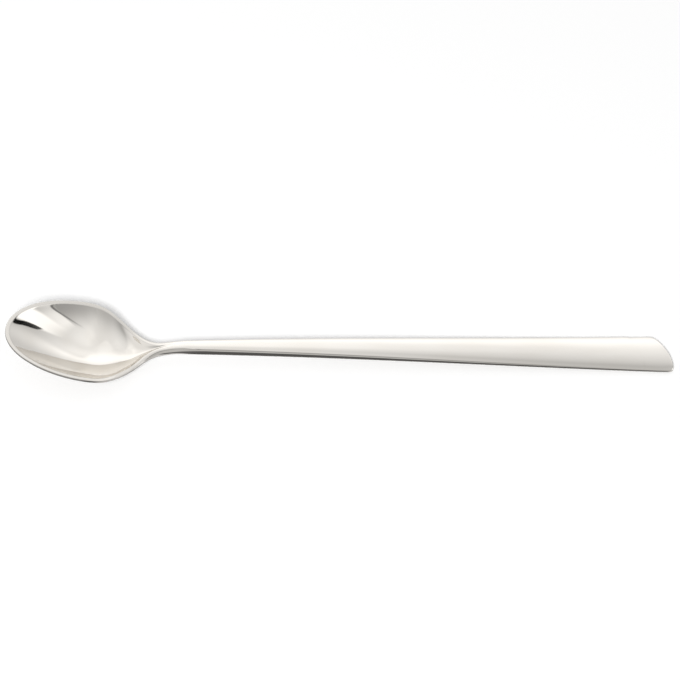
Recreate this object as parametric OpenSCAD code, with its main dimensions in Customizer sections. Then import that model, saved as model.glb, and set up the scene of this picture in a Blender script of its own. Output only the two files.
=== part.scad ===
// Iced tea spoon in stainless steel: a small oval bowl on a slim neck and
// a long flat handle that widens steadily to a slanted end.
// Millimetres. +X runs from the bowl to the handle's end and +Z is up.
// The origin is under the middle of the spoon, on the surface it rests on.
// Places along the spoon are measured from the bowl's tip until the last step.

/* [Overall] */
// Length from the bowl's tip to the handle's longest corner
spoon_l = 188; // [160:1:230]

/* [Bowl] */
// Greatest width of the bowl
bowl_w = 27; // [23:0.1:32]
// Distance from the tip to the bowl's widest place
bowl_reach = 22.4; // [19:0.1:26]
// Distance from the tip to the end of the bowl's shoulders
bowl_l = 44.2; // [38:0.1:48]
// Greatest depth of the hollow below the rim
hollow_depth = 6.4; // [5:0.1:9]
// Thickness of the wall under the deepest place
wall_t = 1.4; // [0.7:0.05:1.6]
// Width of the rim face round the hollow
rim_w = 1; // [0.7:0.05:1.6]
// How far that face falls from the bowl's edge to the hollow
rim_fall = 0.12; // [0.1:0.02:0.6]
// Thickness of the bowl's edge under that face
rim_t = 0.8; // [0.5:0.05:1.4]
// Height of the rim at the tip above the low point at the neck
tip_rise = 7.6; // [4:0.1:9]
// Height of the rim at the start of the shoulders above that low point
shoulder_rise = 2.45; // [1:0.05:4]

/* [Neck] */
// Width of the neck
neck_w = 3.4; // [3:0.05:6]
// Thickness of the neck
neck_t = 3.05; // [2.4:0.05:4]
// Length of the neck, from the end of the hollow to the handle
neck_l = 17; // [12:0.5:25]
// Length of the bend from the low point at the neck up to its crest
bend_l = 12.6; // [6:0.1:14]
// Height of the crest above that low point
bend_rise = 1.9; // [0.5:0.05:2.5]

/* [Handle] */
// Width of the handle at its end
handle_w = 12.2; // [9:0.1:16]
// Thickness of the handle at its end
handle_t = 2.1; // [1.6:0.1:3]
// Height of the straight side between the rounded edges
side_t = 0.5; // [0.3:0.05:0.9]
// Angle of the slanted end away from square
end_angle = 19.2; // [0:0.1:30]
// How far the slanted end bows outwards
end_bow = 1.5; // [0.2:0.1:2.5]
// Radius of the long corner of the slanted end
long_corner_r = 1.2; // [0.6:0.1:3]
// Radius of the short corner of the slanted end
short_corner_r = 0.5; // [0.3:0.1:2]
// Radius of the soft edge round the slanted end
end_round = 0.4; // [0.2:0.05:0.6]
// Depth ground off under the end, so that it rests on a flat
rest_cut = 0.1; // [0.05:0.01:0.2]

/* [Hidden] */

steel = [0.80, 0.79, 0.77];

// Curvature of the plan outline: the tip's oval, then the shoulders
tip_power = 2.05;
shoulder_power = 2.5;
shoulder_softness = 2.56;

// Places along the bowl, as shares of its length
shoulder_start_share = 0.655;
valley_share = 0.826;
hollow_end_share = 1.05;
root_end_share = 1.127;
blend_start_share = 0.76;
blend_end_share = 0.98;
fading_start_share = 0.8;

// Slopes of the top line at the tip, the shoulders and the handle's end
tip_slope = -0.085;
shoulder_slope = -0.142;
end_slope = -0.022;

// Fullness of the hollow's and the belly's cross-sections
section_fullness = -0.1;
hollow_run_out = 1.9;
root_run_out = 1.7;
hollow_point_share = 0.6;
root_join_power = 3;

// Superellipse powers of the bar's cross-section, neck and handle's end
neck_power = 3;
handle_power = 2.1;

// Half angle of the grid's row along the tip, in the oval's own measure
tip_row_angle = 48;
// How fast the rows straighten behind the tip
row_straightening = 1.5;

// Columns across half of the hollow and rows along the pieces
hollow_cols = 7;
tip_rows = 12;
shoulder_rows = 20;
neck_rows = 16;
handle_rows = 18;
slant_rows = 8;
// Places of the rows over the rounded edge of the slanted end
rounding_shares = [0.6, 0.3, 0.1, 0];
// Places of the loops across the rim face, from the hollow to the edge
rim_shares = [0.45, 0.8, 1];
rim_loops = len(rim_shares);
half_cols = hollow_cols + rim_loops;
// Step for measuring slopes, as a share of the bowl's length
slope_step_share = 0.001;
// Length over which the rows of the handle turn to the slant of its end
slant_run_share = 3;
// How fast those rows close up towards the end
slant_row_closing = 1.6;

valley_x = bowl_l * valley_share;
crest_x = valley_x + bend_l;
hollow_l = bowl_l * hollow_end_share;
root_l = bowl_l * root_end_share;
blend_from = bowl_l * blend_start_share;
blend_to = bowl_l * blend_end_share;
fading_from = bowl_l * fading_start_share;
shoulder_x = bowl_l * shoulder_start_share;
neck_end = hollow_l + neck_l;
belly_t = hollow_depth + wall_t;
slope_step = bowl_l * slope_step_share;
slant_run = handle_w * slant_run_share;

function clamp01(t) = min(1, max(0, t));
function ease(t) = let (c = clamp01(t)) c * c * (3 - 2 * c);
function mix(a, b, t) = a + (b - a) * t;
function sign_power(v, p) = sign(v) * pow(abs(v), p);

// Value at x of the cubic through two places [x, height, slope]
function cubic(x, a, b) =
    let (h = b.x - a.x, t = (x - a.x) / h, u = 1 - t)
    a.y * u * u * (1 + 2 * t) + b.y * t * t * (3 - 2 * t)
    + h * t * u * (a.z * u - b.z * t);

// Half of the bar's width, before the bowl is added to it
function bar_half_w(x) =
    mix(neck_w, handle_w, max(0, (x - crest_x) / (spoon_l - crest_x))) / 2;

// Half of the spoon's width at x
function half_w(x) =
    x < bowl_reach
    ? bowl_w / 2 * sqrt(1 - pow((bowl_reach - x) / bowl_reach, tip_power))
    : let (t = clamp01((x - bowl_reach) / (bowl_l - bowl_reach)), n = bar_half_w(x))
        n + (bowl_w / 2 - n) * pow(1 - pow(t, shoulder_power), shoulder_softness);

// Slope of the outline in plan, behind the bowl's widest place
function outline_slope(x) =
    (half_w(x + slope_step) - half_w(x)) / slope_step;

// How crisp the hollow's edge is: 1 over the bowl, and 0 where the hollow ends
function crispness(x) = 1 - ease((x - fading_from) / (hollow_l - fading_from));

// Half of the hollow's width at x
function hollow_half_w(x) =
    x < bowl_reach
    ? (bowl_w / 2 - rim_w)
        * sqrt(max(0, 1 - pow((bowl_reach - x) / (bowl_reach - rim_w), tip_power)))
    : (half_w(x) - rim_w * sqrt(1 + pow(outline_slope(x), 2)))
        * mix(hollow_point_share, 1, crispness(x));

// How much of the section is bar rather than bowl: none at 0 and all at 1
function bar_share(x) = ease((x - blend_from) / (blend_to - blend_from));

// Thickness of the bar at x
function bar_t(x) = mix(neck_t, handle_t, ease((x - crest_x) / (spoon_l - crest_x)));

function bar_power(x) =
    mix(neck_power, handle_power, ease((x - crest_x) / (spoon_l - crest_x)));

// Half height of the bar's rounded section at a share of its half width
function bar_half_h(x, share) =
    let (p = bar_power(x), e = clamp01(abs(share)))
    side_t / 2 + (bar_t(x) - side_t) / 2 * pow(1 - pow(e, p), 1 / p);

// Depth shares along the middle of the hollow and of the belly
function hollow_share(x) =
    x < bowl_reach
    ? pow(hollow_half_w(x) / (bowl_w / 2 - rim_w), 2)
    : pow(1 - pow(clamp01((x - bowl_reach) / (hollow_l - bowl_reach)), 2), hollow_run_out);
function belly_share(x) =
    x < bowl_reach
    ? pow(half_w(x) / (bowl_w / 2), 2)
    : pow(1 - pow(clamp01((x - bowl_reach) / (root_l - bowl_reach)), 2), root_run_out);

function dish(q) = q * (1 + section_fullness * (1 - q));
function across(y, w) = w > 0 ? max(0, 1 - pow(y / w, 2)) : 0;

// Depth of the hollow under the rim's inner edge
function hollow_h(x, y) =
    x < hollow_l
    ? (hollow_depth - rim_fall)
        * dish(hollow_share(x) * pow(across(y, hollow_half_w(x)), 2 - crispness(x)))
    : 0;

// Depth of the underside below the top line
function under_h(x, y) =
    let (
        k = bar_share(x),
        belly = (belly_t - rim_t) * dish(belly_share(x) * across(y, half_w(x))),
        edge = mix(rim_t, bar_t(x) / 2 + bar_half_h(x, y / half_w(x)), k),
        n = mix(1, root_join_power, k)
    )
    pow(pow(belly, n) + pow(edge, n), 1 / n);

// Height of the top line above the low point at the neck, over the bowl
shoulder = [shoulder_x, shoulder_rise, shoulder_slope];
function bowl_rise(x) =
    x < shoulder_x ? cubic(x, [0, tip_rise, tip_slope], shoulder)
    : cubic(x, shoulder, [valley_x, 0, 0]);

// Height of the spoon's top line at x
function top_line(x) =
    x < valley_x ? valley_h + bowl_rise(x)
    : x < crest_x ? cubic(x, [valley_x, valley_h, 0], crest)
    : x < spoon_l ? cubic(x, crest, handle_tip)
    : handle_tip.y + end_slope * (x - spoon_l);

function top_z(x, y) =
    top_line(x) - hollow_h(x, y)
    - bar_share(x) * (bar_t(x) / 2 - bar_half_h(x, y / half_w(x)));
function under_z(x, y) = top_line(x) - under_h(x, y);

// A point of an oval that is r away from the outline, at an angle from the tip
function oval_x(r, a) = bowl_reach - (bowl_reach - r) * pow(cos(a), 2 / tip_power);
function oval_y(r, a) = (bowl_w / 2 - r) * sin(a);

// Columns of the hollow, as shares of its half width
col_shares = [for (j = [-hollow_cols : hollow_cols])
    sin(tip_row_angle * j / hollow_cols) / sin(tip_row_angle)];

// Angles of the rows round the tip and places of the rows over the shoulders
row_angles = [for (i = [0 : tip_rows]) mix(tip_row_angle, 90, i / tip_rows)];
shoulder_xs = [for (i = [1 : shoulder_rows]) mix(bowl_reach, hollow_l, i / shoulder_rows)];

// Plan of one row of the hollow behind the tip: its ends are on the oval
function tip_row(a) =
    let (
        ends = oval_x(rim_w, a),
        first = oval_x(rim_w, tip_row_angle),
        bulge = pow((bowl_reach - ends) / (bowl_reach - first), row_straightening)
    )
    [for (j = [0 : 2 * hollow_cols])
        let (arc = oval_x(rim_w, tip_row_angle * (j - hollow_cols) / hollow_cols))
        [ends - bulge * (first - arc), oval_y(rim_w, a) * col_shares[j]]];

hollow_grid = concat(
    [for (a = row_angles) tip_row(a)],
    [for (x = shoulder_xs) [for (c = col_shares) [x, hollow_half_w(x) * c]]]
);
grid_rows = len(hollow_grid);
grid_cols = 2 * hollow_cols + 1;

// Height of the low point at the neck when the middle of the belly touches
// the surface, and the two places [x, height, slope] that the handle joins
valley_h = -min([for (row = hollow_grid)
    let (x = row[hollow_cols].x) bowl_rise(x) - under_h(x, 0)]);
crest = [crest_x, valley_h + bend_rise, 0];
handle_tip = [spoon_l, handle_t - rest_cut, end_slope];

// One loop round the hollow, from the neck round the tip and back, in plan.
// Share 0 is the hollow's own edge and share 1 is the spoon's outline.
function loop_side(share, dir) = concat(
    [for (a = row_angles)
        let (r = rim_w * (1 - share)) [oval_x(r, a), dir * oval_y(r, a)]],
    [for (x = shoulder_xs) [x, dir * mix(hollow_half_w(x), half_w(x), share)]]
);
function loop_tip(share) =
    let (r = rim_w * (1 - share))
    [for (j = [hollow_cols - 1 : -1 : 1 - hollow_cols])
        let (a = tip_row_angle * j / hollow_cols)
        [oval_x(r, a), oval_y(r, a)]];
function reversed(v) = [for (i = [len(v) - 1 : -1 : 0]) v[i]];
function rim_loop(share) = concat(
    reversed(loop_side(share, 1)), loop_tip(share), loop_side(share, -1));

plan_loops = [for (s = rim_shares) rim_loop(s)];
loop_n = len(plan_loops[0]);
plan_points = concat([for (row = hollow_grid) each row], [for (l = plan_loops) each l]);
side_n = len(plan_points);
// How much of the rim's fall each of those points has
fall_shares = concat(
    [for (row = hollow_grid) for (p = row) 1],
    [for (s = rim_shares) for (k = [1 : loop_n]) 1 - s]
);

// Number of a point of the grid, and of the k-th point of loop r.
// Loop 0 is the grid's own border.
function grid_at(i, j) = i * grid_cols + j;
function border_at(k) =
    k < grid_rows ? grid_at(grid_rows - 1 - k, grid_cols - 1)
    : k < loop_n - grid_rows ? grid_at(0, grid_cols - 2 - (k - grid_rows))
    : grid_at(k - (loop_n - grid_rows), 0);
function loop_at(r, k) =
    r == 0 ? border_at(k) : grid_rows * grid_cols + (r - 1) * loop_n + k;

// Faces of one side of the bowl, turned over for the underside
function turned(face, over) = over ? reversed(face) : face;
function skin_faces(base, over) = concat(
    [for (i = [0 : grid_rows - 2], j = [0 : grid_cols - 2])
        turned([for (n = [grid_at(i, j), grid_at(i, j + 1),
            grid_at(i + 1, j + 1), grid_at(i + 1, j)]) base + n], over)],
    [for (r = [0 : rim_loops - 1], k = [0 : loop_n - 2])
        turned([for (n = [loop_at(r, k), loop_at(r, k + 1),
            loop_at(r + 1, k + 1), loop_at(r + 1, k)]) base + n], over)]
);

// The points of the bowl's cut face, across its top from +Y to -Y
cut_row = concat(
    [for (r = [rim_loops : -1 : 1]) loop_at(r, 0)],
    [for (j = [grid_cols - 1 : -1 : 0]) grid_at(grid_rows - 1, j)],
    [for (r = [1 : rim_loops]) loop_at(r, loop_n - 1)]
);

module bowl_skin() {
    points = concat(
        [for (n = [0 : side_n - 1])
            let (x = plan_points[n].x, y = plan_points[n].y)
            [x, y, top_z(x, y) - rim_fall * crispness(x) * fall_shares[n]]],
        [for (p = plan_points) [p.x, p.y, under_z(p.x, p.y)]]
    );
    edge = [for (k = [0 : loop_n - 2])
        [loop_at(rim_loops, k), loop_at(rim_loops, k + 1),
            side_n + loop_at(rim_loops, k + 1), side_n + loop_at(rim_loops, k)]];
    cut = concat([for (n = cut_row) side_n + n], reversed(cut_row));
    polyhedron(
        points = points,
        faces = concat(skin_faces(0, false), skin_faces(side_n, true), edge, [cut])
    );
}

// Places across the bar, from +Y to -Y: at the bowl they line up with its
// columns, and they move to even angles of the rounded section behind it
bowl_cols = concat(
    [for (r = [rim_loops - 1 : -1 : 0]) mix(hollow_half_w(hollow_l), half_w(hollow_l), rim_shares[r])],
    [for (j = [2 * hollow_cols : -1 : 0]) hollow_half_w(hollow_l) * col_shares[j]],
    [for (r = [0 : rim_loops - 1]) -mix(hollow_half_w(hollow_l), half_w(hollow_l), rim_shares[r])]
);
function even_col(x, m) =
    let (a = 180 * m / (2 * half_cols))
    sign_power(cos(a), 2 / bar_power(x));
function bar_cols(x) =
    let (k = ease((x - hollow_l) / neck_w))
    [for (m = [0 : 2 * half_cols])
        half_w(x) * mix(bowl_cols[m] / half_w(hollow_l), even_col(x, m), k)];
function bar_section(x) =
    let (ys = bar_cols(x))
    concat(
        [for (y = ys) [x, y, top_z(x, y)]],
        [for (y = reversed(ys)) [x, y, under_z(x, y)]]
    );

// A solid through a row of sections, each with as many points above as below
module loft(sections) {
    n = len(sections[0]);
    last = len(sections) - 1;
    polyhedron(
        points = [for (s = sections) each s],
        faces = concat(
            [for (m = [0 : n / 2 - 2]) [m, m + 1, n - 2 - m, n - 1 - m]],
            [for (i = [0 : last - 1], m = [0 : n - 1])
                [i * n + m, (i + 1) * n + m, (i + 1) * n + (m + 1) % n, i * n + (m + 1) % n]],
            [for (m = [0 : n / 2 - 2])
                [for (k = [n - 1 - m, n - 2 - m, m + 1, m]) last * n + k]]
        )
    );
}

// Plan of the slanted end: how far it reaches at a place across the handle,
// given as a share of the half width, before the whole end is set to length
function corner_drop(d, r) = d < r ? r - sqrt(r * r - (r - d) * (r - d)) : 0;
function raw_reach(share) =
    let (from_long = (1 + share) * handle_w / 2, from_short = (1 - share) * handle_w / 2)
    end_bow * (1 - share * share)
    - from_long * tan(end_angle)
    - corner_drop(from_long, long_corner_r)
    - corner_drop(from_short, short_corner_r);
even_shares = [for (m = [0 : 2 * half_cols]) even_col(spoon_l, m)];
furthest = max([for (c = even_shares) raw_reach(c)]);
function end_x(share) = spoon_l + raw_reach(share) - furthest;

// Rows of the handle: straight at the neck, slanted by degrees to the end and
// closer together there. A row has one height, that of its own place x.
slant_from = spoon_l - slant_run;
slant_to = spoon_l - end_round;
function slanted_x(x, share) =
    x - ease((x - slant_from) / (slant_to - slant_from)) * (spoon_l - end_x(share));
// A section of the handle, ground flat where it would reach below the surface
function slant_section(xs, x, drop) =
    let (
        middle = top_line(x) - bar_t(x) / 2,
        order = [for (m = [0 : 2 * half_cols]) m],
        ys = [for (m = order) half_w(xs[m]) * even_shares[m]],
        hs = [for (m = order) max(side_t / 2, bar_half_h(x, even_shares[m]) - drop)]
    )
    concat(
        [for (m = order) [xs[m], ys[m], middle + hs[m]]],
        [for (m = reversed(order)) [xs[m], ys[m], max(0, middle - hs[m])]]
    );
slanted_sections = [for (i = [1 : slant_rows])
    let (x = mix(slant_to, slant_from, pow(1 - i / slant_rows, slant_row_closing)))
    slant_section([for (c = even_shares) slanted_x(x, c)], x, 0)];
rounding_sections = [for (d = rounding_shares)
    let (in = d * end_round)
    slant_section([for (c = even_shares) end_x(c) - in], spoon_l - in,
        corner_drop(in, end_round))];

module bowl() {
    color(steel) bowl_skin();
}

module neck() {
    color(steel) loft([for (i = [0 : neck_rows])
        bar_section(mix(hollow_l, neck_end, i / neck_rows))]);
}

module handle() {
    color(steel) loft(concat(
        [for (i = [0 : handle_rows])
            bar_section(mix(neck_end, slant_from, i / handle_rows))],
        slanted_sections,
        rounding_sections
    ));
}

translate_to_middle = [-spoon_l / 2, 0, 0];
translate(translate_to_middle) bowl();
translate(translate_to_middle) neck();
translate(translate_to_middle) handle();
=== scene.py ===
"""Iced tea spoon in polished stainless steel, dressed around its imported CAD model.

The real spoon is forged from one blank. The blank's whole skin is modelled once, as a
control cage that a Subdivision Surface smooths, and the three stretches that the CAD
model names are then cut from it, so the polish runs over their seams unbroken.
"""

import logging
import math
from dataclasses import dataclass
from enum import Enum

import bmesh
import bpy
from mathutils import Matrix, Vector


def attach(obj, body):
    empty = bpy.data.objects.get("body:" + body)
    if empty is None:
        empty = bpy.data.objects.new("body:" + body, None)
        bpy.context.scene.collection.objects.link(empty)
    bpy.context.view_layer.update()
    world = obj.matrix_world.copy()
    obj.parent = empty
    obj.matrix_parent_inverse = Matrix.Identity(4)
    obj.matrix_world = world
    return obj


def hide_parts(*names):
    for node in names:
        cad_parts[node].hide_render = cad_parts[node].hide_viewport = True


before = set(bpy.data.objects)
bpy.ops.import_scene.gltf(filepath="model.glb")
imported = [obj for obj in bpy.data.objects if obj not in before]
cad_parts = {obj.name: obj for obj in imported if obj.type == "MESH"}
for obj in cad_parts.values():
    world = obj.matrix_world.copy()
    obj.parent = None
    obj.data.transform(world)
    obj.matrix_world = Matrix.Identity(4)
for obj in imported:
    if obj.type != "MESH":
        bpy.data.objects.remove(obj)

LOG = logging.getLogger("spoon")
MM = 0.001
Key = tuple[int, int, int]
Span = tuple[float, float]
Triple = tuple[float, float, float]
Feed = float | bpy.types.NodeSocket
SATIN_AND_PAINTED_SHADE = "satin_and_painted_shade"


def clamp01(value: float) -> float:
    """Return value held between 0 and 1."""
    return min(1.0, max(0.0, value))


def ease(value: float) -> float:
    """Return a smooth step from 0 to 1."""
    held = clamp01(value)
    return held * held * (3 - 2 * held)


def mix(first: float, second: float, share: float) -> float:
    """Return the value at share of the way from first to second."""
    return first + (second - first) * share


def cubic(x: float, start: Triple, end: Triple) -> float:
    """Return the height at x of the cubic through two places.

    Args:
        x: Place along the spoon.
        start: Place, height and slope where the cubic starts.
        end: Place, height and slope where it ends.

    Returns:
        The cubic's height.
    """
    run = end[0] - start[0]
    t = (x - start[0]) / run
    u = 1 - t
    return (
        start[1] * u * u * (1 + 2 * t)
        + end[1] * t * t * (3 - 2 * t)
        + run * t * u * (start[2] * u - end[2] * t)
    )


@dataclass(frozen=True)
class SpoonForm:
    """The spoon's sizes, as in the CAD model, and the surfaces that they give.

    Places along the spoon are measured from the bowl's tip, in metres.
    """

    length: float = 188 * MM
    bowl_w: float = 27 * MM
    bowl_reach: float = 22.4 * MM
    bowl_l: float = 44.2 * MM
    hollow_depth: float = 6.4 * MM
    wall_t: float = 1.4 * MM
    rim_w: float = 1 * MM
    rim_fall: float = 0.12 * MM
    rim_t: float = 0.8 * MM
    tip_rise: float = 7.6 * MM
    shoulder_rise: float = 2.45 * MM
    neck_w: float = 3.4 * MM
    neck_t: float = 3.05 * MM
    neck_l: float = 17 * MM
    bend_l: float = 12.6 * MM
    bend_rise: float = 1.9 * MM
    handle_w: float = 12.2 * MM
    handle_t: float = 2.1 * MM
    side_t: float = 0.5 * MM
    end_angle: float = math.radians(19.2)
    end_bow: float = 1.5 * MM
    end_round: float = 0.4 * MM
    rest_cut: float = 0.1 * MM
    tip_power: float = 2.05
    shoulder_power: float = 2.5
    shoulder_softness: float = 2.56
    shoulder_start_share: float = 0.655
    valley_share: float = 0.826
    hollow_end_share: float = 1.05
    root_end_share: float = 1.127
    blend_start_share: float = 0.76
    blend_end_share: float = 0.98
    fading_start_share: float = 0.8
    tip_slope: float = -0.085
    shoulder_slope: float = -0.142
    end_slope: float = -0.022
    section_fullness: float = -0.1
    hollow_run_out: float = 1.9
    root_run_out: float = 1.7
    hollow_point_share: float = 0.6
    root_join_power: float = 3
    neck_power: float = 3
    handle_power: float = 2.1
    slope_step_share: float = 0.001
    belly_stations: int = 400

    @property
    def valley_x(self) -> float:
        """Place of the low point at the neck."""
        return self.bowl_l * self.valley_share

    @property
    def crest_x(self) -> float:
        """Place of the crest behind that low point."""
        return self.valley_x + self.bend_l

    @property
    def hollow_l(self) -> float:
        """Place where the hollow runs out, the seam of bowl and neck."""
        return self.bowl_l * self.hollow_end_share

    @property
    def neck_end(self) -> float:
        """Place of the seam of neck and handle."""
        return self.hollow_l + self.neck_l

    def bar_half_w(self, x: float) -> float:
        """Return half of the bar's width at x, before the bowl is added."""
        share = max(0.0, (x - self.crest_x) / (self.length - self.crest_x))
        return mix(self.neck_w, self.handle_w, share) / 2

    def half_w(self, x: float) -> float:
        """Work out the plan outline: the tip's oval, then the shoulders into the bar.

        Args:
            x: Place along the spoon.

        Returns:
            Half of the spoon's width there.
        """
        if x < self.bowl_reach:
            back = (self.bowl_reach - x) / self.bowl_reach
            return self.bowl_w / 2 * math.sqrt(max(0.0, 1 - back**self.tip_power))
        t = clamp01((x - self.bowl_reach) / (self.bowl_l - self.bowl_reach))
        bar = self.bar_half_w(x)
        shoulder = (1 - t**self.shoulder_power) ** self.shoulder_softness
        return bar + (self.bowl_w / 2 - bar) * shoulder

    def rim_band(self, x: float) -> float:
        """Work out the rim face's width across the spoon, behind the widest place.

        Args:
            x: Place along the spoon.

        Returns:
            The width, which is greater where the outline slants.
        """
        step = self.bowl_l * self.slope_step_share
        slope = (self.half_w(x + step) - self.half_w(x)) / step
        return self.rim_w * math.sqrt(1 + slope * slope)

    def hollow_half_w(self, x: float) -> float:
        """Work out the hollow's outline, inside the rim face.

        Args:
            x: Place along the spoon.

        Returns:
            Half of the hollow's width there.
        """
        if x < self.bowl_reach:
            back = (self.bowl_reach - x) / (self.bowl_reach - self.rim_w)
            return (self.bowl_w / 2 - self.rim_w) * math.sqrt(max(0.0, 1 - back**self.tip_power))
        return (self.half_w(x) - self.rim_band(x)) * mix(
            self.hollow_point_share, 1, self.crispness(x)
        )

    def crispness(self, x: float) -> float:
        """Return how crisp the hollow's edge is, from 1 over the bowl to 0 at the neck."""
        start = self.bowl_l * self.fading_start_share
        return 1 - ease((x - start) / (self.hollow_l - start))

    def bar_share(self, x: float) -> float:
        """Return how much of the section at x is bar rather than bowl."""
        start = self.bowl_l * self.blend_start_share
        return ease((x - start) / (self.bowl_l * self.blend_end_share - start))

    def along_bar(self, x: float) -> float:
        """Return the eased share of the way from the crest to the handle's end."""
        return ease((x - self.crest_x) / (self.length - self.crest_x))

    def bar_t(self, x: float) -> float:
        """Return the bar's thickness at x."""
        return mix(self.neck_t, self.handle_t, self.along_bar(x))

    def bar_power(self, x: float) -> float:
        """Return the superellipse power of the bar's section at x."""
        return mix(self.neck_power, self.handle_power, self.along_bar(x))

    def bar_half_h(self, x: float, share: float) -> float:
        """Work out the bar's rounded section.

        Args:
            x: Place along the spoon.
            share: Share of the bar's half width.

        Returns:
            Half of the bar's height there.
        """
        power = self.bar_power(x)
        round_share = (1 - clamp01(abs(share)) ** power) ** (1 / power)
        return self.side_t / 2 + (self.bar_t(x) - self.side_t) / 2 * round_share

    def dish(self, share: float) -> float:
        """Return the fuller depth share of a dished section."""
        return share * (1 + self.section_fullness * (1 - share))

    def run_out(self, x: float, end: float, power: float) -> float:
        """Return the depth share along the middle, from the widest place to end."""
        t = clamp01((x - self.bowl_reach) / (end - self.bowl_reach))
        return (1 - t * t) ** power

    def hollow_h(self, x: float, y: float) -> float:
        """Work out the hollow's surface.

        Args:
            x: Place along the spoon.
            y: Place across it.

        Returns:
            The hollow's depth below the rim.
        """
        edge = self.hollow_half_w(x) if x < self.hollow_l else 0.0
        if edge <= 0 or abs(y) >= edge:
            return 0.0
        if x < self.bowl_reach:
            along = (edge / (self.bowl_w / 2 - self.rim_w)) ** 2
        else:
            along = self.run_out(x, self.hollow_l, self.hollow_run_out)
        across = (1 - (y / edge) ** 2) ** (2 - self.crispness(x))
        return (self.hollow_depth - self.rim_fall) * self.dish(along * across)

    def under_h(self, x: float, y: float) -> float:
        """Work out the underside, from the bowl's belly into the bar.

        Args:
            x: Place along the spoon.
            y: Place across it.

        Returns:
            The underside's depth below the top line.
        """
        bar = self.bar_share(x)
        half = self.half_w(x)
        if x < self.bowl_reach:
            along = (half / (self.bowl_w / 2)) ** 2
        else:
            along = self.run_out(x, self.bowl_l * self.root_end_share, self.root_run_out)
        bulge = max(0.0, 1 - (y / half) ** 2) if half > 0 else 0.0
        depth = self.hollow_depth + self.wall_t - self.rim_t
        belly = depth * self.dish(along * bulge)
        bar_h = self.bar_t(x) / 2 + self.bar_half_h(x, y / half if half > 0 else 1.0)
        edge = mix(self.rim_t, bar_h, bar)
        power = mix(1, self.root_join_power, bar)
        return (belly**power + edge**power) ** (1 / power)

    def bowl_rise(self, x: float) -> float:
        """Work out the top line over the bowl.

        Args:
            x: Place along the spoon.

        Returns:
            The height above the low point at the neck.
        """
        start = self.bowl_l * self.shoulder_start_share
        shoulder = (start, self.shoulder_rise, self.shoulder_slope)
        if x < start:
            return cubic(x, (0, self.tip_rise, self.tip_slope), shoulder)
        return cubic(x, shoulder, (self.valley_x, 0, 0))

    def valley_h(self) -> float:
        """Find how high the neck's low point stands when the belly touches the surface.

        Returns:
            The low point's height.
        """
        count = self.belly_stations
        stations = [self.valley_x * (i + 0.5) / count for i in range(count)]
        return -min(self.bowl_rise(x) - self.under_h(x, 0) for x in stations)

    def oval(self, inset: float, angle: float) -> tuple[float, float]:
        """Return the point of the tip's oval at an angle from the tip.

        Args:
            inset: Distance inwards from the outline.
            angle: Angle from the tip, in radians, positive towards +Y.

        Returns:
            The point's place along and across the spoon.
        """
        reach = (self.bowl_reach - inset) * math.cos(angle) ** (2 / self.tip_power)
        return self.bowl_reach - reach, (self.bowl_w / 2 - inset) * math.sin(angle)


class Side(Enum):
    """The two sides of the blank's skin."""

    TOP = 1
    UNDER = -1


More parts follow.
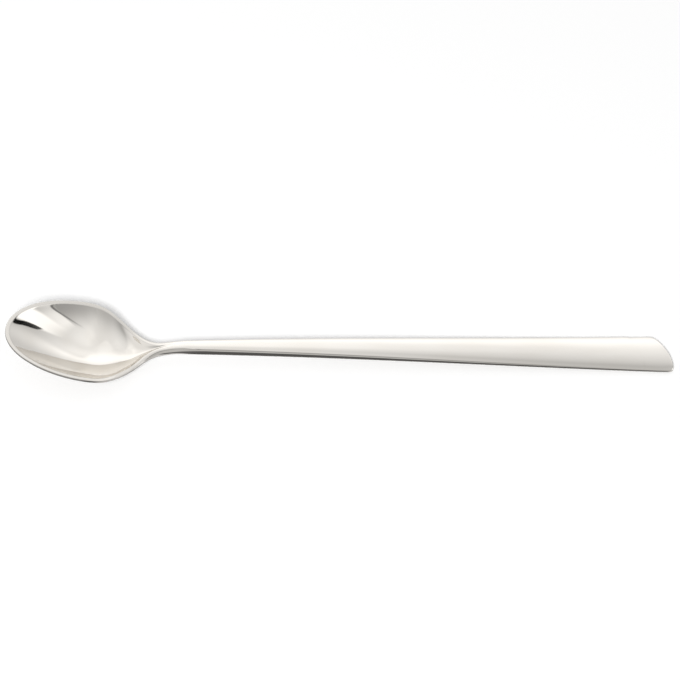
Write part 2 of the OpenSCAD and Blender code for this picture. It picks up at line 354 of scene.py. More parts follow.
@dataclass
class Cage:
    """A closed control cage, pulled up from a flat grid and shaped point by point.

    A point's key is its row, its column and its level. Level 0 is the under grid, the
    last level is the top grid, and the levels between are rings round the border.
    """

    rows: int
    cols: int
    levels: int
    name: str = "blank"
    settle_rounds: int = 6

    def start(self) -> bpy.types.Object:
        """Add the grid and pull its faces up once for each level.

        Returns:
            The cage's object, in edit mode with nothing selected.
        """
        if bpy.context.mode != "OBJECT":
            bpy.ops.object.mode_set(mode="OBJECT")
        bpy.ops.object.select_all(action="DESELECT")
        bpy.ops.mesh.primitive_grid_add(
            x_subdivisions=self.rows, y_subdivisions=self.cols, size=1
        )
        blank = bpy.context.active_object
        blank.name = self.name
        bpy.ops.object.mode_set(mode="EDIT")
        bpy.ops.mesh.select_all(action="SELECT")
        bpy.ops.transform.resize(value=(self.rows, self.cols, 1))
        bpy.ops.transform.translate(value=(self.rows / 2, self.cols / 2, 0))
        for _ in range(self.levels):
            bpy.ops.mesh.extrude_region_move(TRANSFORM_OT_translate={"value": (0, 0, 1)})
        bpy.ops.mesh.select_all(action="DESELECT")
        return blank

    def shape(
        self,
        blank: bpy.types.Object,
        places: dict[Key, Vector],
        firmness: dict[Key, float],
        satin_and_painted_shade: dict[Key, float],
    ) -> None:
        """Move each point of the cage so that the smoothed skin runs through its places.

        Args:
            blank: The cage's object, in edit mode.
            places: The place on the skin of each key.
            firmness: How closely the skin keeps to each place, from 0, where the point
                stands at the place and the skin rounds it off, to 1.
            satin_and_painted_shade: How much of the rim's rougher polish, and of the shade
                painted on the rim face, each point shows.
        """
        mesh = bmesh.from_edit_mesh(blank.data)
        layer = mesh.verts.layers.float.new(SATIN_AND_PAINTED_SHADE)
        mesh.verts.index_update()
        verts = list(mesh.verts)
        keys = [tuple(round(c) for c in vert.co) for vert in verts]
        points = self.settle(verts, [places[k] for k in keys], [firmness[k] for k in keys])
        for vert, key in zip(verts, keys):
            vert[layer] = satin_and_painted_shade[key]
        for vert, point in zip(verts, points):
            vert.select = True
            bpy.ops.transform.translate(value=point - vert.co)
            vert.select = False
        bpy.ops.mesh.select_all(action="SELECT")
        bpy.ops.mesh.normals_make_consistent(inside=False)
        bpy.ops.object.mode_set(mode="OBJECT")

    def settle(
        self, verts: list[bmesh.types.BMVert], goals: list[Vector], firmness: list[float]
    ) -> list[Vector]:
        """Work out the points whose smoothed skin runs through the goals.

        Args:
            verts: The cage's points, for what joins them.
            goals: The place on the skin of each point.
            firmness: How closely the skin keeps to each goal.

        Returns:
            The place of each point of the cage.
        """
        beside = [[e.other_vert(v).index for e in v.link_edges] for v in verts]
        across = [
            [lo.link_loop_next.link_loop_next.vert.index for lo in v.link_loops] for v in verts
        ]
        points = [goal.copy() for goal in goals]
        for _ in range(self.settle_rounds):
            moved = []
            # The smoothed skin over a point depends on what stands beside and across it
            for n, goal in enumerate(goals):
                count = len(beside[n])
                near = sum((points[m] for m in beside[n]), Vector())
                far = sum((points[m] for m in across[n]), Vector())
                skin = (count * count * points[n] + 4 * near + far) / (count * (count + 5))
                moved.append(points[n] + firmness[n] * (goal - skin))
            points = moved
        return points


@dataclass
class Blank:
    """The spoon's one blank: its rows, columns and rings, and the skin that they carry."""

    form: SpoonForm
    half_cols: int = 5
    rings: int = 4
    tip_rows: int = 8
    shoulder_rows: int = 12
    tip_row_angle: float = math.radians(48)
    row_straightening: float = 1.5
    crease: float = 0.22 * MM
    crease_share: float = 0.2
    edge_round: float = 0.24 * MM
    spread_l: float = 9 * MM
    smooth_levels: int = 3
    lift: float = 0.03 * MM
    # How far from the end the rows begin to slant, in widths of the handle
    slant_widths: float = 3
    # How far the last row stands back from the end, in radii of its soft edge
    end_back: float = 1.3
    # Where the last column meets the end at the two corners, as shares of the half width
    short_corner_share: float = 0.86
    long_corner_share: float = 0.66
    corner_power: int = 3
    # Places of the rows behind the hollow, from the tip, in mm
    bar_stations: tuple[float, ...] = (
        46.9, 49, 51.3, 54, 57.2, 61, 65.4, 70.4, 76, 82.4, 89.6, 97.6, 106.4, 115.6, 125,
        134.2, 143, 151.2, 158.6, 165, 170.6, 175.4, 179.4,
    )
    # Distances of the last rows from the slanted end, at its short and long corners, in mm
    end_rows: tuple[tuple[float, float], ...] = ((6.6, 8.6), (3.2, 4.9), (0.9, 2.1))

    def __post_init__(self) -> None:
        """Work out the rows and the height of the top line."""
        form = self.form
        self.cols = 2 * self.half_cols
        self.levels = 2 * self.rings + 1
        self.valley_z = form.valley_h() + self.lift
        self.shoulder_xs = [
            mix(form.bowl_reach, form.hollow_l, i / self.shoulder_rows)
            for i in range(1, self.shoulder_rows + 1)
        ]
        self.straight_xs = self.shoulder_xs + [x * MM for x in self.bar_stations]
        self.rows = self.tip_rows + len(self.straight_xs) + len(self.end_rows) + 1
        angles = 2 * (self.half_cols + self.rings)
        self.even_angles = [math.pi * m / angles for m in range(angles + 1)]

    def top_line(self, x: float) -> float:
        """Work out the top line from the tip to past the end.

        Args:
            x: Place along the spoon.

        Returns:
            The line's height above the surface that the spoon rests on.
        """
        form = self.form
        crest = (form.crest_x, self.valley_z + form.bend_rise, 0.0)
        end = (form.length, form.handle_t - form.rest_cut, form.end_slope)
        if x < form.valley_x:
            return self.valley_z + form.bowl_rise(x)
        if x < form.crest_x:
            return cubic(x, (form.valley_x, self.valley_z, 0.0), crest)
        if x < form.length:
            return cubic(x, crest, end)
        return end[1] + form.end_slope * (x - form.length)

    def height(self, x: float, y: float, side: Side) -> float:
        """Return the height of one side of the skin.

        Args:
            x: Place along the spoon.
            y: Place across it.
            side: The top or the underside.

        Returns:
            The height above the surface that the spoon rests on.
        """
        form = self.form
        if side is Side.UNDER:
            return self.top_line(x) - form.under_h(x, y)
        half = form.half_w(x)
        share = y / half if half > 0 else 1.0
        drop = form.bar_t(x) / 2 - form.bar_half_h(x, share)
        return self.top_line(x) - form.hollow_h(x, y) - form.bar_share(x) * drop

    def fall(self, x: float, ring: int, side: Side) -> float:
        """Work out the fall of the rim face towards the hollow.

        Args:
            x: Place along the spoon.
            ring: The ring round the grid.
            side: The top or the underside.

        Returns:
            How far the face has fallen at that ring.
        """
        if side is Side.UNDER:
            return 0.0
        share = clamp01(self.insets()[ring] / self.form.rim_w)
        return self.form.rim_fall * self.form.crispness(x) * share

    def even_share(self, x: float, m: int) -> float:
        """Return the share of the half width at the m-th even angle of the section."""
        cosine = math.cos(self.even_angles[m])
        return math.copysign(abs(cosine) ** (2 / self.form.bar_power(x)), cosine)

    def insets(self) -> list[float]:
        """Return the distances of the border and its rings from the outline."""
        rim = self.form.rim_w
        return [rim + self.crease, rim, rim - self.crease, self.edge_round, 0.0]

    def column_share(self, j: int) -> float:
        """Return a column's share of the grid's half width over the bowl."""
        turn = self.tip_row_angle * (self.half_cols - j) / self.half_cols
        return math.sin(turn) / math.sin(self.tip_row_angle)

    def tip_point(self, i: int, j: int, ring: int) -> tuple[float, float]:
        """Return the plan place of a point of the rows round the tip.

        Args:
            i: The row.
            j: The column.
            ring: 0 for the grid and its border, or the ring outside it.

        Returns:
            The place along and across the spoon.
        """
        form = self.form
        inset = self.insets()[ring]
        angle = mix(self.tip_row_angle, math.pi / 2, i / self.tip_rows)
        turn = self.tip_row_angle * (self.half_cols - j) / self.half_cols
        if ring and i == 0:
            return form.oval(inset, turn)
        if ring:
            return form.oval(inset, angle if j == 0 else -angle)
        ends, half = form.oval(inset, angle)
        first, _ = form.oval(inset, self.tip_row_angle)
        arc, _ = form.oval(inset, turn)
        bulge = ((form.bowl_reach - ends) / (form.bowl_reach - first)) ** self.row_straightening
        return ends - bulge * (first - arc), half * self.column_share(j)

    def bowl_section(self, x: float) -> list[float]:
        """Lay out a row of the bowl, from the +Y edge to the middle.

        Args:
            x: The row's place.

        Returns:
            The places across it.
        """
        form = self.form
        half = form.half_w(x)
        edge = form.hollow_half_w(x)
        band = half - edge
        inner = edge - min(self.crease, edge * self.crease_share)
        rings = [half, half - self.edge_round / form.rim_w * band,
                 edge + self.crease / form.rim_w * band, edge]
        return rings + [inner * self.column_share(j) for j in range(self.half_cols + 1)]

    def bar_section(self, x: float) -> list[float]:
        """Lay out a row of the bar, from the +Y edge to the middle.

        Args:
            x: The row's place.

        Returns:
            The places across it.
        """
        form = self.form
        start = self.bowl_section(form.hollow_l)
        scale = form.half_w(x) / form.half_w(form.hollow_l)
        share = ease((x - form.hollow_l) / self.spread_l)
        return [
            mix(start[m] * scale, form.half_w(x) * self.even_share(x, m), share)
            for m in range(len(start))
        ]

    def row_point(self, x: float, j: int, ring: int) -> tuple[float, float]:
        """Return the plan place of a point of a straight row.

        Args:
            x: The row's place.
            j: The column.
            ring: 0 for the grid, or the ring outside it.

        Returns:
            The place along and across the spoon.
        """
        section = self.bowl_section(x) if x <= self.form.hollow_l else self.bar_section(x)
        side = 1 if j <= self.half_cols else -1
        m = self.rings - ring if ring else self.rings + (j if side > 0 else self.cols - j)
        return x, side * section[m]

    def end_lead(self, share: float) -> float:
        """Work out the bowed and slanted end, before it is set at the spoon's length.

        Args:
            share: Share of the half width, positive towards +Y.

        Returns:
            How far the end leads its long corner there.
        """
        form = self.form
        slant = (1 + share) * form.handle_w / 2 * math.tan(form.end_angle)
        return form.end_bow * (1 - share * share) - slant

    def end_reach(self, share: float) -> float:
        """Return how far the slanted end reaches at a share of the half width."""
        form = self.form
        furthest = -form.handle_w / 4 * math.tan(form.end_angle) / form.end_bow
        return form.length + self.end_lead(share) - self.end_lead(max(-1.0, furthest))

    def points(self) -> list[tuple[Key, int, Side]]:
        """List the points of the cage.

        Returns:
            The key, the ring and the side of each point.
        """
        listed = []
        for i in range(self.rows + 1):
            for j in range(self.cols + 1):
                border = i in (0, self.rows) or j in (0, self.cols)
                for ring in range(self.rings + 1 if border else 1):
                    listed.append(((i, j, self.levels - ring), ring, Side.TOP))
                    listed.append(((i, j, ring), ring, Side.UNDER))
        return listed

    def targets(self) -> dict[Key, Vector]:
        """Return the place on the skin of each key."""
        return {key: self.place(*key[:2], ring, side) for key, ring, side in self.points()}

    def place(self, i: int, j: int, ring: int, side: Side) -> Vector:
        """Return the place on the skin of one point.

        Args:
            i: The row.
            j: The column.
            ring: 0 for the grid, or the ring outside it.
            side: The top or the underside.

        Returns:
            The point, with the origin under the middle of the spoon.
        """
        row = i - self.tip_rows - 1
        if row < 0:
            x, y = self.tip_point(i, j, ring)
            z = self.height(x, y, side) - self.fall(x, ring, side)
        elif row < len(self.straight_xs):
            x0 = self.straight_xs[row]
            x, y = self.row_point(x0, j, ring)
            z = self.height(x, y, side) - self.fall(x, ring, side)
            x = self.slanted(x0, y / self.form.half_w(x0))
        else:
            x, y, z = self.end_point(i, j, ring, side)
        return Vector((x - self.form.length / 2, y, max(0.0, z)))

    def firmness(self) -> dict[Key, float]:
        """Set how closely the skin keeps to the places: on the grid, and along the bar's sides.

        Returns:
            The firmness of each key, from 0 to 1.
        """
        firm: dict[Key, float] = {}
        for key, _, _ in self.points():
            row = key[0] - self.tip_rows - 1
            firm[key] = 0.0
            if 0 < key[0] < self.rows and 0 < key[1] < self.cols:
                firm[key] = 1.0
            elif self.shoulder_rows <= row and key[0] < self.rows - 1:
                x = self.straight_xs[row] if row < len(self.straight_xs) else self.form.length
                firm[key] = ease((x - self.form.hollow_l) / self.spread_l)
        return firm

    def satin_and_painted_shade(self) -> dict[Key, float]:
        """Set how much of the rim's rougher polish and painted shade each point shows: the top
        rings, to the neck.

        Returns:
            The share of each key, from 0 to 1.
        """
        shares: dict[Key, float] = {}
        for key, ring, side in self.points():
            row = key[0] - self.tip_rows - 1
            shares[key] = 0.0
            if ring and side is Side.TOP and row < self.shoulder_rows:
                shares[key] = self.form.crispness(self.shoulder_xs[max(0, row)])
        return shares

    def slanted(self, x: float, share: float) -> float:
        """Turn the rows to the slanted end.

        Args:
            x: The straight row's place.
            share: The point's share of the half width.

        Returns:
            Where the point goes along the spoon.
        """
        run = self.slant_widths * self.form.handle_w
        start = self.form.length - run
        return x - ease((x - start) / run) * (self.form.length - self.end_reach(share))

    def end_point(self, i: int, j: int, ring: int, side: Side) -> tuple[float, float, float]:
        """Return a point of the last rows or of the rings round the slanted end.

        Args:
            i: The row.
            j: The column.
            ring: 0 for the grid, or the ring outside it.
            side: The top or the underside.

        Returns:
            The place along, across and above the surface.
        """
        form = self.form
        sign = 1 if j <= self.half_cols else -1
        at_side = j in (0, self.cols)
        m = self.rings + (j if sign > 0 else self.cols - j)
        if ring and at_side:
            m = self.rings - ring
        share = sign * self.even_share(form.length, m)
        across = (1 - share) / 2
        drop = 0.0
        if i == self.rows:
            turn = ring / self.rings * math.pi / 2
            back = form.end_round * self.end_back * (1 - math.sin(turn))
            drop = form.end_round * (1 - math.cos(turn))
        else:
            back = mix(*self.end_rows[i - self.rows + len(self.end_rows)], across) * MM
        if i == self.rows and ring and not at_side:
            share = self.corner_shift(share, ring)
        x = self.end_reach(share) - back
        y = form.half_w(min(x, form.length)) * share
        level = form.length - back
        half_h = max(form.side_t / 2, form.bar_half_h(level, share) - drop)
        middle = self.top_line(level) - form.bar_t(level) / 2
        return x, y, middle + side.value * half_h

    def corner_shift(self, share: float, ring: int) -> float:
        """Move the columns of the end's rings, to set the corners' radii.

        Args:
            share: The column's share of the half width.
            ring: The ring.

        Returns:
            The share that it moves to.
        """
        first = self.even_share(self.form.length, self.rings + 1)
        corner = self.short_corner_share if share > 0 else self.long_corner_share
        amount = (abs(share) / first) ** self.corner_power * ring / self.rings
        return share + math.copysign((corner - first) * amount, share)


class Graph:
    """A short way to write sums in a node tree."""

    noise_middle: Span = (0.25, 0.75)
    colour_stops: Span = (0.35, 0.7)

    def __init__(self, tree: bpy.types.NodeTree) -> None:
        """Keep the tree that the nodes are added to."""
        self.tree = tree

    def feed(self, socket: bpy.types.NodeSocket, value: Feed) -> None:
        """Link a socket to the input, or write a number there.

        Args:
            socket: The input.
            value: What feeds it.
        """
        if isinstance(value, (int, float)):
            socket.default_value = value
        else:
            self.tree.links.new(value, socket)

    def math(self, operation: str, *values: Feed) -> bpy.types.NodeSocket:
        """Add one math node.

        Args:
            operation: The node's operation.
            values: Its numbers or sockets.

        Returns:
            The result's socket.
        """
        node = self.tree.nodes.new("ShaderNodeMath")
        node.operation = operation
        for socket, value in zip(node.inputs, values):
            self.feed(socket, value)
        return node.outputs[0]

    def remap(
        self, value: Feed, source: Span, target: Span, interpolation: str = "LINEAR"
    ) -> bpy.types.NodeSocket:
        """Map a value from one span to another, and hold it inside the second.

        Args:
            value: The value.
            source: The span that it comes from.
            target: The span that it goes to.
            interpolation: How it runs between the ends.

        Returns:
            The result's socket.
        """
        node = self.tree.nodes.new("ShaderNodeMapRange")
        node.interpolation_type = interpolation
        self.feed(node.inputs["Value"], value)
        for name, number in zip(("From Min", "From Max", "To Min", "To Max"), source + target):
            node.inputs[name].default_value = number
        return node.outputs["Result"]

    def ramp(self, value: Feed, start: float, end: float) -> bpy.types.NodeSocket:
        """Return a smooth step of value, from 0 at start to 1 at end."""
        ends = ((start, end), (0.0, 1.0)) if start < end else ((end, start), (1.0, 0.0))
        return self.remap(value, *ends, "SMOOTHSTEP")

    def window(self, value: Feed, rise: Span, fall: Span) -> bpy.types.NodeSocket:
        """Return a smooth window of value, between its rise and its fall."""
        return self.math("MULTIPLY", self.ramp(value, *rise), self.ramp(value, *reversed(fall)))

    def blend(self, under: Feed, over: Feed, share: Feed) -> bpy.types.NodeSocket:
        """Return the value at share of the way from under to over."""
        return self.math(
            "ADD", under, self.math("MULTIPLY", self.math("SUBTRACT", over, under), share)
        )

    def spread(self, value: Feed, low: float, high: float) -> bpy.types.NodeSocket:
        """Return a noise's middle half spread between two numbers."""
        return self.remap(value, self.noise_middle, (low, high))

    def colours(self, value: Feed, low: Triple, high: Triple) -> bpy.types.NodeSocket:
        """Colour a noise between two colours.

        Args:
            value: The noise.
            low: The colour of its low places.
            high: The colour of its high places.

        Returns:
            The colour's socket.
        """
        node = self.tree.nodes.new("ShaderNodeValToRGB")
        self.feed(node.inputs["Fac"], value)
        for stop, place, colour in zip(node.color_ramp.elements, self.colour_stops, (low, high)):
            stop.position = place
            stop.color = (*colour, 1)
        return node.outputs["Color"]


@dataclass(frozen=True)
class SteelFinish:
    """Polished stainless steel, with the traces that its polishing leaves, and a shade painted on
    its rim face.
    """

    name: str
    # Waves of the polish and lines of its grain per metre, along, across and upwards
    waves: Triple
    grain: Triple
    wave_depth: float
    grain_depth: float
    roughness: Span
    wave_octaves: float = 1.0
    grain_octaves: float = 3.0
    tint: Triple = (0.684, 0.66, 0.623)
    worn_tint: Triple = (0.66, 0.632, 0.59)
    # Painted shade: how much the rim face's colour is darkened, standing in for its greyer
    # reflection
    rim_painted_shade: float = 0.22
    satin_roughness: float = 0.14

    def material(self) -> bpy.types.Material:
        """Build the finish's material.

        Returns:
            The material.
        """
        steel = bpy.data.materials.new(self.name)
        steel.use_nodes = True
        graph = Graph(steel.node_tree)
        shader = steel.node_tree.nodes["Principled BSDF"]
        shader.inputs["Metallic"].default_value = 1
        waves = self.noise(graph, self.waves, self.wave_octaves)
        grain = self.noise(graph, self.grain, self.grain_octaves)
        satin_and_painted_shade = self.satin_and_painted_shade(graph)
        shade = steel.node_tree.nodes.new("ShaderNodeVectorMath")
        shade.operation = "SCALE"
        graph.feed(shade.inputs[0], graph.colours(waves, self.tint, self.worn_tint))
        # Painted shade: the rim face's colour is darkened, standing in for its greyer reflection;
        # only the added roughness is a real rougher polish
        darker = graph.math("MULTIPLY", satin_and_painted_shade, self.rim_painted_shade)
        graph.feed(shade.inputs["Scale"], graph.math("SUBTRACT", 1, darker))
        graph.feed(shader.inputs["Base Color"], shade.outputs[0])
        rougher = graph.math("MULTIPLY", satin_and_painted_shade, self.satin_roughness)
        graph.feed(
            shader.inputs["Roughness"],
            graph.math("ADD", graph.spread(grain, *self.roughness), rougher),
        )
        relief = graph.math(
            "ADD",
            graph.math("MULTIPLY", waves, self.wave_depth),
            graph.math("MULTIPLY", grain, self.grain_depth),
        )
        bump = steel.node_tree.nodes.new("ShaderNodeBump")
        bump.inputs["Strength"].default_value = 1
        bump.inputs["Distance"].default_value = MM
        graph.feed(bump.inputs["Height"], relief)
        graph.feed(shader.inputs["Normal"], bump.outputs["Normal"])
        return steel

    def satin_and_painted_shade(self, graph: Graph) -> bpy.types.NodeSocket:
        """Read the rim's rougher polish and painted shade from the points of the mesh.

        Args:
            graph: The material's graph.

        Returns:
            How much of that polish and painted shade the steel shows.
        """
        share = graph.tree.nodes.new("ShaderNodeAttribute")
        share.attribute_name = SATIN_AND_PAINTED_SHADE
        return share.outputs["Fac"]

    def noise(self, graph: Graph, scale: Triple, detail: float) -> bpy.types.NodeSocket:
        """Add a noise that is stretched by a scale of its own along each axis.

        Args:
            graph: The material's graph.
            scale: Waves per metre along, across and upwards.
            detail: Octaves of the noise.

        Returns:
            The noise, from 0 to 1.
        """
        nodes = graph.tree.nodes
        coords = nodes.new("ShaderNodeTexCoord")
        stretch = nodes.new("ShaderNodeMapping")
        stretch.inputs["Scale"].default_value = scale
        graph.feed(stretch.inputs["Vector"], coords.outputs["Object"])
        noise = nodes.new("ShaderNodeTexNoise")
        noise.inputs["Scale"].default_value = 1
        noise.inputs["Detail"].default_value = detail
        graph.feed(noise.inputs["Vector"], stretch.outputs["Vector"])
        return noise.outputs["Fac"]


@dataclass
class Stretch:
    """A stretch of the spoon that the CAD model names, cut from the smooth blank."""

    finish: SteelFinish
    start: float | None = None
    end: float | None = None
    node: str = ""
    slot: str = "handle_steel"
    sharp_angle: float = math.radians(35)
    on_plane: float = 1e-4 * MM

    def build(self, skin: bpy.types.Object) -> bpy.types.Object:
        """Copy the blank's skin, cut the stretch from it and dress it.

        Args:
            skin: The smooth skin of the whole blank.

        Returns:
            The finished piece.
        """
        bpy.ops.object.select_all(action="DESELECT")
        skin.select_set(True)
        bpy.context.view_layer.objects.active = skin
        bpy.ops.object.duplicate()
        piece = bpy.context.active_object
        piece.name = f"steel_{self.node}"
        bpy.ops.object.mode_set(mode="EDIT")
        if self.start is not None:
            self.cut((self.start, 0, 0), (1, 0, 0))
        if self.end is not None:
            self.cut((self.end, 0, 0), (-1, 0, 0))
        self.trim()
        bpy.ops.object.mode_set(mode="OBJECT")
        bpy.ops.object.shade_smooth_by_angle(angle=self.sharp_angle)
        piece.data.materials.clear()
        piece.data.materials.append(self.finish.material())
        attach(piece, "root")
        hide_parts(self.node)
        return piece

    def cut(self, place: Triple, kept: Triple) -> None:
        """Cut the piece by a plane, keep the side that kept points to and close the cut."""
        bpy.ops.mesh.select_all(action="SELECT")
        bpy.ops.mesh.bisect(
            plane_co=place,
            plane_no=kept,
            use_fill=True,
            clear_inner=True,
            threshold=self.on_plane,
        )

    def trim(self) -> None:
        """Do what only this stretch needs, in edit mode."""


@dataclass
class Bowl(Stretch):
    """The bowl, down to where its hollow runs out."""

    node: str = "bowl"
    slot: str = "bowl_steel"


@dataclass
class Neck(Stretch):
    """The neck, over the bend."""

    node: str = "neck"


@dataclass
class Handle(Stretch):
    """The handle, ground flat under its slanted end."""

    node: str = "handle"
    ground: float = 0.002 * MM

    def trim(self) -> None:
        """Grind the flat that the spoon rests on."""
        self.cut((0, 0, self.ground), (0, 0, 1))


@dataclass
class Camera:
    """The photograph's view: in front, to the left and from above, with a long lens."""

    azimuth: float = math.radians(-17)
    elevation: float = math.radians(52)
    roll: float = math.radians(-0.3)
    distance: float = 1.1
    lens: float = 211.1
    aim: Triple = (1 * MM, 0.0, 4 * MM)
    offset: Span = (-1.77 * MM, 2.7 * MM)
    clip: Span = (0.01, 20.0)

    def build(self) -> None:
        """Place the camera and make it the scene's."""
        back = Vector((
            math.sin(self.azimuth) * math.cos(self.elevation),
            -math.cos(self.azimuth) * math.cos(self.elevation),
            math.sin(self.elevation),
        ))
        right = (Vector((1, 0, 0)) - back * back.x).normalized()
        up = back.cross(right)
        right, up = (
            right * math.cos(self.roll) + up * math.sin(self.roll),
            up * math.cos(self.roll) - right * math.sin(self.roll),
        )
        turn = Matrix((right, up, back)).transposed()
        place = Vector(self.aim) + back * self.distance
        place += right * self.offset[0] + up * self.offset[1]
        lens = bpy.data.cameras.new("camera")
        lens.lens = self.lens
        lens.clip_start, lens.clip_end = self.clip
        view = bpy.data.objects.new("camera", lens)
        view.matrix_world = Matrix.Translation(place) @ turn.to_4x4()
        bpy.context.scene.collection.objects.link(view)
        bpy.context.scene.camera = view


@dataclass(frozen=True)
class Patch:
    """A soft patch of the tent's wall, in degrees round from the back and upwards."""

    level: float
    turn_in: Span
    turn_out: Span
    rise_in: Span = (-91, -90)
    rise_out: Span = (91, 92)

    def share(self, graph: Graph, turn: Feed, rise: Feed) -> bpy.types.NodeSocket:
        """Work out how much of the patch a ray meets.

        Args:
            graph: The world's graph.
            turn: Azimuth of the ray.
            rise: Elevation of the ray.

        Returns:
            The share, from 0 to 1.
        """
        return graph.math(
            "MULTIPLY",
            graph.window(turn, self.turn_in, self.turn_out),
            graph.window(rise, self.rise_in, self.rise_out),
        )


@dataclass(frozen=True)
class Streak:
    """A narrow leaning streak of the tent's wall, in degrees, which may narrow to a point."""

    level: float
    # Azimuth at one elevation, and how far it moves for each degree upwards
    turn: float
    rise: float
    lean: float
    # Where the streak fades out and in, on either side of its half width
    edge: Span
    rise_in: Span
    rise_out: Span
    half_w: float = 0.0
    # Elevation of its point, and how fast it widens below
    point: float | None = None
    widening: float = 0.9

    def share(self, graph: Graph, turn: Feed, rise: Feed) -> bpy.types.NodeSocket:
        """Work out how much of the streak a ray meets.

        Args:
            graph: The world's graph.
            turn: Azimuth of the ray.
            rise: Elevation of the ray.

        Returns:
            The share, from 0 to 1.
        """
        lean = graph.math("MULTIPLY", graph.math("SUBTRACT", rise, self.rise), self.lean)
        aside = graph.math("SUBTRACT", graph.math("SUBTRACT", turn, self.turn), lean)
        off = graph.math("ABSOLUTE", aside)
        if self.point is not None:
            below = graph.math("SUBTRACT", self.point, rise)
            half = graph.math("MULTIPLY", below, self.widening)
            off = graph.math("SUBTRACT", off, graph.math("MINIMUM", half, self.half_w))
        window = graph.window(rise, self.rise_in, self.rise_out)
        return graph.math("MULTIPLY", graph.ramp(off, *self.edge), window)


@dataclass
class Studio:
    """A white table in a soft tent, as polished steel and the camera see it.

    Azimuths are in degrees, 0 behind the spoon and 90 past the handle's end.
    """

    floor_size: float = 3.0
    floor_white: float = 0.85
    floor_glow: float = 0.2
    lamp_place: Triple = (-0.555, -1.246, 1.463)
    lamp_size: float = 0.36
    lamp_power: float = 27.0
    card_place: Triple = (-0.055, 0.0, 0.12)
    card_size: float = 0.36
    card_glow: float = 0.58
    ambient: float = 0.5
    front: float = 0.71
    zenith: float = 0.56
    zenith_rise: Span = (0, 100)
    horizon: Span = (-34, -24)
    left_wall: Patch = Patch(1.15, (-154, -118), (0, 60), rise_out=(28, 113))
    back_wall: Patch = Patch(1.72, (-117, -26), (38, 88), (-2, 41), (26, 71))
    right_wall: Patch = Patch(0.9, (22, 33), (137, 151), (27, 38), (-42, 116))
    right_top: Patch = Patch(0.76, (40, 80), (140, 175), (50, 62), (68, 80))
    front_gap: Patch = Patch(0.38, (125, 129), (180, 181), (16, 30), (34, 58))
    front_left: Patch = Patch(0.52, (-181, -180), (-150, -138), (16, 30), (42, 72))
    left_top: Patch = Patch(1.14, (-108, -94), (-60, -35), (38, 48), (58, 72))
    corner: Patch = Patch(1.11, (88, 121), (125.3, 127.4), (29, 38), (43, 52))
    panel: Patch = Patch(1.66, (82, 89), (108.5, 114), (-30, -10), (28, 51))
    seam: Streak = Streak(
        0.15, turn=125.7, rise=34, lean=0.38, edge=(1.7, 0.5), rise_in=(18, 28), rise_out=(42, 58)
    )
    slit: Streak = Streak(
        0.01, turn=78.8, rise=25.4, lean=0.85, edge=(0.8, -0.8), rise_in=(-30, -20),
        rise_out=(34, 37), half_w=3.6, point=36.5,
    )
    table: Patch = Patch(0.38, (-180, -179), (180, 181))
    table_right: Patch = Patch(0.85, (70, 100), (145, 160))
    table_front: Patch = Patch(0.12, (155, 162), (170, 176))

    def build(self) -> None:
        """Set up the world, the floor, the lamp and the card."""
        bpy.context.scene.view_settings.view_transform = "Standard"
        self.world()
        self.floor()
        self.lamp()
        self.card()

    def world(self) -> None:
        """Make the world white to the camera, a tent to steel and plain as a light."""
        world = bpy.data.worlds.new("studio")
        bpy.context.scene.world = world
        world.use_nodes = True
        graph = Graph(world.node_tree)
        nodes = world.node_tree.nodes
        place = nodes.new("ShaderNodeTexCoord")
        axes = nodes.new("ShaderNodeSeparateXYZ")
        world.node_tree.links.new(place.outputs["Generated"], axes.inputs[0])
        x, y, z = axes.outputs
        degree = 180 / math.pi
        turn = graph.math("MULTIPLY", graph.math("ARCTAN2", x, y), degree)
        rise = graph.math("MULTIPLY", graph.math("ARCSINE", z), degree)
        tent = self.tent(graph, turn, rise)
        path = nodes.new("ShaderNodeLightPath")
        clear = graph.math(
            "MAXIMUM", path.outputs["Is Camera Ray"], path.outputs["Is Transmission Ray"]
        )
        level = graph.blend(self.ambient, 1.0, clear)
        level = graph.blend(level, tent, path.outputs["Is Glossy Ray"])
        graph.feed(nodes["Background"].inputs["Strength"], level)
        nodes["Background"].inputs["Color"].default_value = (1, 1, 1, 1)

    def tent(self, graph: Graph, turn: Feed, rise: Feed) -> bpy.types.NodeSocket:
        """Build the tent that polished steel shows, with the table under its horizon.

        Args:
            graph: The world's graph.
            turn: Azimuth of the ray.
            rise: Elevation of the ray.

        Returns:
            The tent's brightness in that direction.
        """
        level = graph.blend(self.front, self.zenith, graph.ramp(rise, *self.zenith_rise))
        for wall in (
            self.left_wall, self.back_wall, self.right_wall, self.right_top, self.front_gap,
            self.front_left, self.left_top, self.corner, self.panel, self.seam, self.slit,
        ):
            level = graph.blend(level, wall.level, wall.share(graph, turn, rise))
        table: Feed = 0.0
        for part in (self.table, self.table_right, self.table_front):
            table = graph.blend(table, part.level, part.share(graph, turn, rise))
        return graph.blend(table, level, graph.ramp(rise, *self.horizon))

    def floor(self) -> None:
        """Add the table top, white to the camera but for the spoon's shadow."""
        floor = self.plane("table_top", (0, 0, 0), self.floor_size)
        white = bpy.data.materials.new("table_white")
        white.use_nodes = True
        graph = Graph(white.node_tree)
        shader = white.node_tree.nodes["Principled BSDF"]
        shader.inputs["Base Color"].default_value = (*[self.floor_white] * 3, 1)
        shader.inputs["Roughness"].default_value = 1
        shader.inputs["Specular IOR Level"].default_value = 0
        shader.inputs["Emission Color"].default_value = (1, 1, 1, 1)
        path = white.node_tree.nodes.new("ShaderNodeLightPath")
        glow = graph.math("MULTIPLY", path.outputs["Is Camera Ray"], self.floor_glow)
        graph.feed(shader.inputs["Emission Strength"], glow)
        floor.data.materials.append(white)
        floor.visible_glossy = False

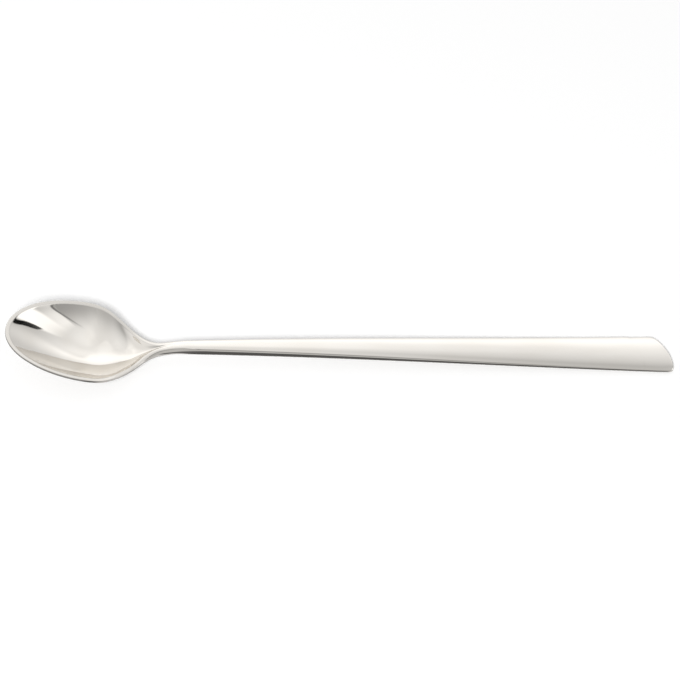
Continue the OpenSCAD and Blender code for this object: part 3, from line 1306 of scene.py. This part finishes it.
    def plane(self, name: str, place: Triple, size: float) -> bpy.types.Object:
        """Add a level square that isn't part of the spoon.

        Args:
            name: The plane's name.
            place: Its middle.
            size: Its side.

        Returns:
            The plane.
        """
        bpy.ops.object.select_all(action="DESELECT")
        bpy.ops.mesh.primitive_plane_add(size=1, location=place)
        plane = bpy.context.active_object
        plane.name = name
        plane.scale = (size, size, 1)
        return plane

    def card(self) -> None:
        """Add a soft glow over the bowl that only polished steel shows, fading to its border."""
        card = self.plane("glow_over_bowl", self.card_place, self.card_size)
        glow = bpy.data.materials.new(card.name)
        glow.use_nodes = True
        nodes = glow.node_tree.nodes
        nodes.clear()
        graph = Graph(glow.node_tree)
        coords = nodes.new("ShaderNodeTexCoord")
        reach = nodes.new("ShaderNodeVectorMath")
        reach.operation = "LENGTH"
        glow.node_tree.links.new(coords.outputs["Object"], reach.inputs[0])
        light = nodes.new("ShaderNodeEmission")
        fade = graph.ramp(reach.outputs["Value"], 0.5, 0.0)
        graph.feed(light.inputs["Strength"], graph.math("MULTIPLY", fade, self.card_glow))
        clear = nodes.new("ShaderNodeBsdfTransparent")
        both = nodes.new("ShaderNodeAddShader")
        out = nodes.new("ShaderNodeOutputMaterial")
        glow.node_tree.links.new(light.outputs[0], both.inputs[0])
        glow.node_tree.links.new(clear.outputs[0], both.inputs[1])
        glow.node_tree.links.new(both.outputs[0], out.inputs[0])
        card.data.materials.append(glow)
        card.visible_camera = card.visible_diffuse = card.visible_shadow = False

    def lamp(self) -> None:
        """Add a square soft lamp that faces the spoon and leaves the steel alone."""
        light = bpy.data.lights.new("key_light", "AREA")
        light.size = self.lamp_size
        light.energy = self.lamp_power
        lamp = bpy.data.objects.new(light.name, light)
        away = Vector(self.lamp_place).to_track_quat("Z", "Y").to_matrix().to_4x4()
        lamp.matrix_world = Matrix.Translation(self.lamp_place) @ away
        lamp.visible_glossy = False
        bpy.context.scene.collection.objects.link(lamp)


def main() -> None:
    """Build the spoon, dress it and set the studio round it."""
    logging.basicConfig(level=logging.INFO, format="%(name)s: %(message)s")
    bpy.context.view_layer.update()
    form = SpoonForm()
    blank = Blank(form)
    cage = Cage(blank.rows, blank.cols, blank.levels)
    skin = cage.start()
    cage.shape(skin, blank.targets(), blank.firmness(), blank.satin_and_painted_shade())
    smooth = skin.modifiers.new("smooth", "SUBSURF")
    smooth.levels = smooth.render_levels = blank.smooth_levels
    bpy.ops.object.modifier_apply(modifier=smooth.name)
    mirror = SteelFinish(
        name="bowl_mirror",
        waves=(160, 160, 160),
        grain=(900, 900, 900),
        wave_depth=0.0006,
        grain_depth=0.0001,
        roughness=(0.03, 0.06),
    )
    grained = SteelFinish(
        name="handle_polish",
        waves=(60, 260, 260),
        grain=(120, 5200, 5200),
        wave_depth=0.0006,
        grain_depth=0.00012,
        roughness=(0.05, 0.1),
    )
    hollow_end, neck_end = form.hollow_l - form.length / 2, form.neck_end - form.length / 2
    for stretch in (
        Bowl(mirror, end=hollow_end),
        Neck(grained, start=hollow_end, end=neck_end),
        Handle(grained, start=neck_end),
    ):
        piece = stretch.build(skin)
        LOG.info("%s: %d faces", piece.name, len(piece.data.polygons))
    bpy.data.objects.remove(skin)
    Camera().build()
    Studio().build()


if __name__ == "__main__":
    main()
